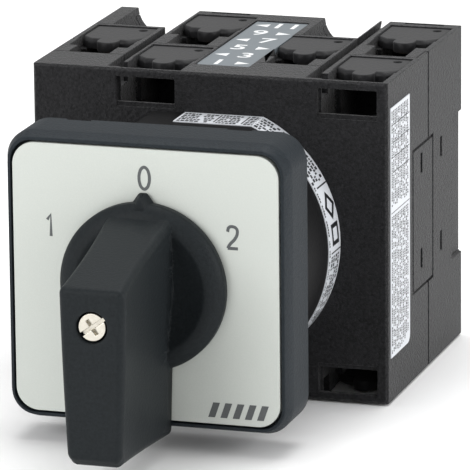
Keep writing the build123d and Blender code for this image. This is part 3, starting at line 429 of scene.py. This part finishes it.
BAR_HIGH = 2.5
BAR_WIDE = 1.15
BAR_SPACING = 2.05
BAR_LEAN = 0.35
BARS = 5
MARK_LEFT = 11.3
MARK_HEIGHT = -20.0
mark = bmesh.new()
for number in range(BARS):
    bar = bmesh.ops.create_grid(mark, x_segments=1, y_segments=1, size=0.5)["verts"]
    bmesh.ops.scale(mark, vec=(BAR_WIDE * MM, BAR_HIGH * MM, 1), verts=bar)
    bmesh.ops.rotate(mark, matrix=Matrix.Rotation(math.radians(90), 3, "X"), verts=bar)
    for corner in bar:
        corner.co.x += corner.co.z * BAR_LEAN
    middle = (MARK_LEFT + number * BAR_SPACING) * MM
    bmesh.ops.translate(mark, vec=(middle, PLATE_FACE - INK_THICK * MM, MARK_HEIGHT * MM), verts=bar)
bars = new_piece("plain_bar_mark", mark, grey_ink)
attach(bars, "switch_body")

# --- Knob --------------------------------------------------------------------------------------
# The lever knob, moulded in dark blue-grey polyamide with a satin skin.  Its round foot turns on
# the legend plate, and its rounded edges are painted a little lighter as a painted highlight.

KNOB_EDGE = 0.35
HANDLE_FREE = 20.5

# Dark blue-grey polyamide with a satin skin: soft, wide highlights on the handle's rounded edges.
satin_knob_plastic = moulded_plastic("satin_knob_polyamide", "1A1D1F", "232729", "2B2F32",
                                     roughness=0.46, shine=0.09, grain=0.5, depth=0.06)
knob = softened("knob", "moulded_knob", satin_knob_plastic, KNOB_EDGE, segments=3,
                in_front_of=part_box("knob")[0].y + HANDLE_FREE * MM, flatness=0.02, crease=35)

# The pointer on the rim of the foot is a blunt wedge whose flanks slope down to the disc.

POINTER_FOOT_HALF = 3.7
POINTER_NOSE_HALF = 0.7
POINTER_START = 11.3
POINTER_END = 15.42
POINTER_HIGH = 2.55
POINTER_EDGE = 0.3
POINTER_FLANK = (0.42, 1, 0.8)
DISC_GAP = 0.4
pointer_rear = PLATE_FACE - DISC_GAP * MM
wedge = bmesh.new()
outline = [(-POINTER_FOOT_HALF, POINTER_START), (POINTER_FOOT_HALF, POINTER_START),
           (POINTER_NOSE_HALF, POINTER_END), (-POINTER_NOSE_HALF, POINTER_END)]
foot = wedge.faces.new([wedge.verts.new((x * MM, pointer_rear, z * MM)) for x, z in outline])
raised = [part for part in bmesh.ops.extrude_face_region(wedge, geom=[foot])["geom"]
          if isinstance(part, bmesh.types.BMVert)]
bmesh.ops.translate(wedge, verts=raised, vec=(0, -POINTER_HIGH * MM, 0))
bmesh.ops.scale(wedge, verts=raised, vec=POINTER_FLANK, space=Matrix.Translation((0, 0, -POINTER_START * MM)))
bmesh.ops.recalc_face_normals(wedge, faces=wedge.faces)
bmesh.ops.bevel(wedge, geom=wedge.edges[:], offset=POINTER_EDGE * MM, segments=2, profile=0.5, affect="EDGES",
                material=-1)
nose = new_piece("knob_pointer", wedge, satin_knob_plastic, smooth=50)
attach(nose, frame["nodes"]["knob"]["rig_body"])

# --- Screws, clamps and springs ------------------------------------------------------------------
# Steel parts: nickel-plated knob screw, zinc-plated panel, tie and terminal screws with their
# clamps, a drawn square shaft, rollers, and springs of drawn wire.

SCRATCH_DEEP = 0.006
SCREW_EDGE = 0.12


def plated_steel(name, dark, light, roughness, grain, scratch):
    """Plated or drawn steel: crystals of the plating shift the tone, and fine scratches catch light."""
    made, tree = new_material(name)
    place = add_node(tree, "ShaderNodeTexCoord").outputs["Object"]
    crystals = add_node(tree, "ShaderNodeTexNoise", {"Scale": 1 / (grain * MM), "Detail": 4.0}, {"Vector": place})
    stretch = add_node(tree, "ShaderNodeMapping", {"Scale": (1.0, 0.06, 1.0)}, {"Vector": place})
    lines = add_node(tree, "ShaderNodeTexNoise", {"Scale": 1 / (scratch * MM), "Detail": 2.0},
                     {"Vector": stretch.outputs["Vector"]})
    tone = add_node(tree, "ShaderNodeMix", {"data_type": "RGBA", "A": linear(dark), "B": linear(light)},
                    {"Factor": crystals.outputs["Fac"]})
    gloss = add_node(tree, "ShaderNodeMapRange", {"To Min": roughness - 0.08, "To Max": roughness + 0.1},
                     {"Value": lines.outputs["Fac"]})
    dents = add_node(tree, "ShaderNodeBump", {"Strength": 1.0, "Distance": SCRATCH_DEEP * MM},
                     {"Height": lines.outputs["Fac"]})
    skin = add_node(tree, "ShaderNodeBsdfPrincipled", {"Metallic": 1.0},
                    {"Base Color": tone.outputs["Result"], "Roughness": gloss.outputs["Result"],
                     "Normal": dents.outputs["Normal"]})
    add_node(tree, "ShaderNodeOutputMaterial", None, {"Surface": skin.outputs["BSDF"]})
    return made


# Bright nickel is warm and mirror-like, clear zinc cooler and duller; drawn steel and spring wire
# are darker, with fine lines along the draw that are coarser here than the real ones.
nickel = plated_steel("bright_nickel_plating", "BDB8AC", "D8D4C9", roughness=0.3, grain=0.8, scratch=0.15)
zinc = plated_steel("clear_zinc_plating", "AEB1B4", "CBCED0", roughness=0.36, grain=0.6, scratch=0.12)
drawn_steel = plated_steel("drawn_bright_steel", "8D8E90", "A9AAAC", roughness=0.32, grain=1.2, scratch=0.08)
spring_steel = plated_steel("drawn_spring_wire", "77787A", "929395", roughness=0.3, grain=0.4, scratch=0.05)
softened("knob_screw", "nickel_knob_screw", nickel, SCREW_EDGE)
repaint(["panel_screws", "tie_screws", "terminal_screws", "wire_clamps"], zinc)
repaint(["switch_shaft", "detent_rollers"], drawn_steel)
repaint(["detent_springs"], spring_steel)

# Each contact spring stands between its plunger and the side wall.  The real spring shortens as the
# plunger comes towards the wall; here a welded copy of the coil keeps one length.

for hand, wall in (("right", 1), ("left", 0)):
    for unit in (1, 2, 3):
        node = "contact_spring_%s_%d" % (hand, unit)
        coil = bmesh.new()
        coil.from_mesh(frame["nodes"][node].data)
        bmesh.ops.remove_doubles(coil, verts=coil.verts, dist=WELD * MM)
        spring = new_piece("wound_" + node, coil, spring_steel, smooth=40)
        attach(spring, "switch_body")
        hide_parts(node)
        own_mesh(spring)

# --- Contacts ------------------------------------------------------------------------------------
# Fixed contacts and bridges stamped from half-hard brass, with the tumbled look of stamped parts.

stamped_brass = plated_steel("stamped_brass", "84693C", "9C8150", roughness=0.42, grain=0.9, scratch=0.1)
bridges = ["bridge_%s_%d" % (hand, unit) for hand in ("right", "left") for unit in (1, 2, 3)]
repaint(["fixed_contacts_1", "fixed_contacts_2", "fixed_contacts_3"] + bridges, stamped_brass)

# --- Shaft seal ------------------------------------------------------------------------------------
# A ring of black nitrile rubber round the knob's hub.

# Nitrile rubber, moulded: flat black with almost no highlight.
nitrile = moulded_plastic("black_nitrile_rubber", "0E0E0F", "161617", "1A1A1B",
                          roughness=0.7, shine=0.3, grain=0.3, depth=0.01)
repaint(["shaft_seal"], nitrile)

# --- Number strips -----------------------------------------------------------------------------------
# Grey-blue strips of printed plastic, laid in a shallow seat between the towers.  Each terminal's
# number is printed in white with an arrow towards its pit.

STRIP_EDGE = 0.12
STRIP_FIGURE = 3.7
STRIP_MIDDLE = 0.25
ARROW_LONG = 2.4
ARROW_HIGH = 2.2
FIGURE_SHIFT = 1.5
ARROW_SHIFT = 2.4
FIGURE_SPREAD = 1.12
CAPITAL_SHARE = 0.73
BOLDNESS = 0.02


def lettering(shape, text, high, wide, place):
    """Adds upright sans-serif figures, high mm tall and spread by wide, and moves them by a matrix."""
    curve = bpy.data.curves.new("figures", "FONT")
    curve.body = text
    curve.align_x = "CENTER"
    curve.align_y = "CENTER"
    curve.size = high / CAPITAL_SHARE * MM
    curve.offset = BOLDNESS * high * MM
    curve.resolution_u = 4
    writing = bpy.data.objects.new("figures", curve)
    mesh = bpy.data.meshes.new_from_object(writing)
    mesh.transform(place @ Matrix.Diagonal((wide, 1, 1, 1)))
    shape.from_mesh(mesh)
    bpy.data.objects.remove(writing)
    bpy.data.curves.remove(curve)
    bpy.data.meshes.remove(mesh)


def arrow(shape, x, y, z, towards):
    """A flat triangle that points along X."""
    tip = bmesh.ops.create_circle(shape, cap_ends=True, segments=3, radius=ARROW_HIGH / 1.732 * MM)["verts"]
    bmesh.ops.rotate(shape, matrix=Matrix.Rotation(math.radians(-90 * towards), 3, "Z"), verts=tip)
    stretch = ARROW_LONG / (ARROW_HIGH * 0.866)
    bmesh.ops.scale(shape, vec=(stretch, 1, 1), verts=tip)
    bmesh.ops.translate(shape, vec=(x * MM, y * MM, z), verts=tip)


# Grey-blue rigid plastic sheet, printed: smooth, with an even soft gloss.
strip_plastic = moulded_plastic("grey_printed_strip", "666D72", "70777C", "7C8388",
                                roughness=0.4, shine=0.45, grain=0.7, depth=0.01)
# White screen ink: opaque, with the grey just showing through.
white_ink = printing_ink("white_screen_ink", "DADCDD", "E6E8E9")
for up, end in ((1, "top"), (-1, "bottom")):
    strip = softened("number_strip_" + end, "printed_strip_" + end, strip_plastic, STRIP_EDGE)
    low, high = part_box("number_strip_" + end)
    face = (high.z if up > 0 else low.z) + up * INK_THICK * MM
    row = (high.y - low.y) / MM / 6
    print_layer = bmesh.new()
    for number in range(6):
        text = str(2 * number + (1 if up > 0 else 2))
        towards = 1 if number % 2 == 0 else -1
        y = low.y / MM + (number + 0.5) * row
        turn = Matrix.Identity(4) if up > 0 else Matrix.Rotation(math.radians(180), 4, "X")
        shift = Matrix.Translation(((STRIP_MIDDLE - FIGURE_SHIFT * towards) * MM, y * MM, face))
        lettering(print_layer, text, STRIP_FIGURE, FIGURE_SPREAD, shift @ turn)
        arrow(print_layer, STRIP_MIDDLE + ARROW_SHIFT * towards, y, face, towards)
    figures = new_piece("strip_figures_" + end, print_layer, white_ink)
    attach(figures, "switch_body")

# --- Labels --------------------------------------------------------------------------------------
# Two labels of white polyester film, one bent round the collar and one on the right side, with
# rows of tiny print that only stand for lettering, and a few ruled cells.

FILM_WAVE = 5.0
FILM_WAVE_HIGH = 0.12
PRINT_ROW = 0.95
LETTER_HIGH = 0.6
PRINT_MARGIN = 0.8
TEXT_GAP = 0.6
CORNER_ROOM = 2.0
DIVIDE_AT = 0.42
RULES_AT = (0.07, 0.14, 0.2, 0.26)
THIN_RULE = 0.14


def polyester_film():
    """White printed film on glue: smooth and cool white, with slow waves in its gloss."""
    made, tree = new_material("white_polyester_film")
    place = add_node(tree, "ShaderNodeTexCoord").outputs["Object"]
    wave = add_node(tree, "ShaderNodeTexNoise", {"Scale": 1 / (FILM_WAVE * MM), "Detail": 2.0}, {"Vector": place})
    tone = add_node(tree, "ShaderNodeMix", {"data_type": "RGBA", "A": linear("C5C8CE"), "B": linear("D6D9DD")},
                    {"Factor": wave.outputs["Fac"]})
    gloss = add_node(tree, "ShaderNodeMapRange", {"To Min": 0.32, "To Max": 0.5}, {"Value": wave.outputs["Fac"]})
    dents = add_node(tree, "ShaderNodeBump", {"Strength": 1.0, "Distance": FILM_WAVE_HIGH * MM},
                     {"Height": wave.outputs["Fac"]})
    skin = add_node(tree, "ShaderNodeBsdfPrincipled", {"Specular IOR Level": 0.5},
                    {"Base Color": tone.outputs["Result"], "Roughness": gloss.outputs["Result"],
                     "Normal": dents.outputs["Normal"]})
    add_node(tree, "ShaderNodeOutputMaterial", None, {"Surface": skin.outputs["BSDF"]})
    return made


def patch(shape, along, across, wide, high, turn=0.0):
    """A flat rectangle in millimetres, centred at along and across."""
    corners = bmesh.ops.create_grid(shape, x_segments=1, y_segments=1, size=0.5)["verts"]
    bmesh.ops.scale(shape, vec=(wide, high, 1), verts=corners)
    bmesh.ops.rotate(shape, matrix=Matrix.Rotation(math.radians(turn), 3, "Z"), verts=corners)
    bmesh.ops.translate(shape, vec=(along, across, 0), verts=corners)


def tiny_print(shape, start, end, across, tall, draw):
    """One row of specks the size of letters, in words, from start to end."""
    along = start
    while along < end - 0.5:
        for letter in range(draw.randint(2, 8)):
            wide = tall * draw.uniform(0.3, 0.7)
            high = tall * draw.uniform(0.7, 1.0)
            if along + wide > end:
                return
            patch(shape, along + wide / 2, across + (high - tall) / 2, wide, high)
            along += wide + 0.18 * tall
        along += tall * draw.uniform(0.5, 1.0)


white_film = polyester_film()
# Black thermal print, a little grey where it covers thinly.
black_ink = printing_ink("black_screen_ink", "101114", "1C1D20")
repaint(["side_label", "ring_label"], white_film)
draw = random.Random(7)
low, high = (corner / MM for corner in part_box("side_label"))
side_print = bmesh.new()
rows = int((high.y - low.y - PRINT_MARGIN) / PRINT_ROW)
length = high.z - low.z
divide = length * DIVIDE_AT
for row in range(rows):
    across = low.y + PRINT_MARGIN + row * PRINT_ROW
    end = length - (CORNER_ROOM if row > rows - 3 else TEXT_GAP)
    tiny_print(side_print, TEXT_GAP, divide - PRINT_MARGIN, across, LETTER_HIGH, draw)
    tiny_print(side_print, divide + TEXT_GAP, end, across, LETTER_HIGH, draw)
for place in RULES_AT + (DIVIDE_AT,):
    patch(side_print, length * place, (low.y + high.y) / 2, THIN_RULE, high.y - low.y - TEXT_GAP)
for vertex in side_print.verts:
    vertex.co = Vector((high.x + INK_THICK, vertex.co.y, high.z - vertex.co.x)) * MM
print_piece = new_piece("side_label_print", side_print, black_ink)
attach(print_piece, "switch_body")

# The collar's label follows the flat on top and then the round wall.  Its print has ruled cells,
# a row along the front edge, and two plain outlines where such labels carry larger signs.

RING_ROW = 1.2
RING_LETTER = 0.95
RING_ROWS = 5
CELLS = ((-3.6, 2.3), (3.1, 7.1), (7.9, 13.5), (14.4, 24.0), (36.5, 56.0))
CELL_RULES = (2.7, 7.5, 13.9, 24.6, 35.9)
BOLD_RULE = 0.26
RULE_SHIFT = 0.7
RULE_SHORTER = 1.6
EDGE_ROW_START = 24.2
EDGE_ROW_END = 60.0
SIGNS = ((28.2, 2.7, 45), (33.0, 2.9, 0))
SIGN_ACROSS = 4.0
SIGN_STROKE = 0.75
LONG_EDGE = 1.0

collar_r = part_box("ring_label")[1].x / MM
collar_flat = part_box("ring_label")[1].z / MM
flat_half = math.sqrt(collar_r ** 2 - collar_flat ** 2)
flat_end = math.atan2(flat_half, collar_flat)


def on_collar(along, y):
    """A point of the label: along runs clockwise from the middle of the flat on top."""
    if along < flat_half:
        return Vector((along, y, collar_flat + INK_THICK)) * MM
    angle = flat_end + (along - flat_half) / collar_r
    reach = collar_r + INK_THICK
    return Vector((reach * math.sin(angle), y, reach * math.cos(angle))) * MM


def outline(shape, along, across, side, turn):
    """Four short bars that make a square outline, which turn can set on its corner."""
    for quarter in range(4):
        heading = math.radians(turn + 90 * quarter)
        patch(shape, along + side / 2 * math.cos(heading), across + side / 2 * math.sin(heading), SIGN_STROKE,
              side + SIGN_STROKE, turn + 90 * quarter)


low, high = (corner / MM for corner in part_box("ring_label"))
ring_print = bmesh.new()
for start, end in CELLS:
    for row in range(RING_ROWS):
        if start > EDGE_ROW_START and row == 0:
            continue
        tiny_print(ring_print, start, end, low.y + PRINT_MARGIN + row * RING_ROW, RING_LETTER, draw)
for place in CELL_RULES:
    sideways = RULE_SHIFT if place > EDGE_ROW_START else 0.0
    patch(ring_print, place, (low.y + high.y) / 2 + sideways, BOLD_RULE, high.y - low.y - RULE_SHORTER)
tiny_print(ring_print, EDGE_ROW_START, EDGE_ROW_END, low.y + TEXT_GAP, LETTER_HIGH, draw)
for along, side, turn in SIGNS:
    outline(ring_print, along, low.y + SIGN_ACROSS, side, turn)
long_edges = [edge for edge in ring_print.edges if edge.calc_length() > LONG_EDGE]
bmesh.ops.subdivide_edges(ring_print, edges=long_edges, cuts=5, use_grid_fill=True)
for vertex in ring_print.verts:
    vertex.co = on_collar(vertex.co.x, vertex.co.y)
print_piece = new_piece("collar_label_print", ring_print, black_ink)
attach(print_piece, "switch_body")
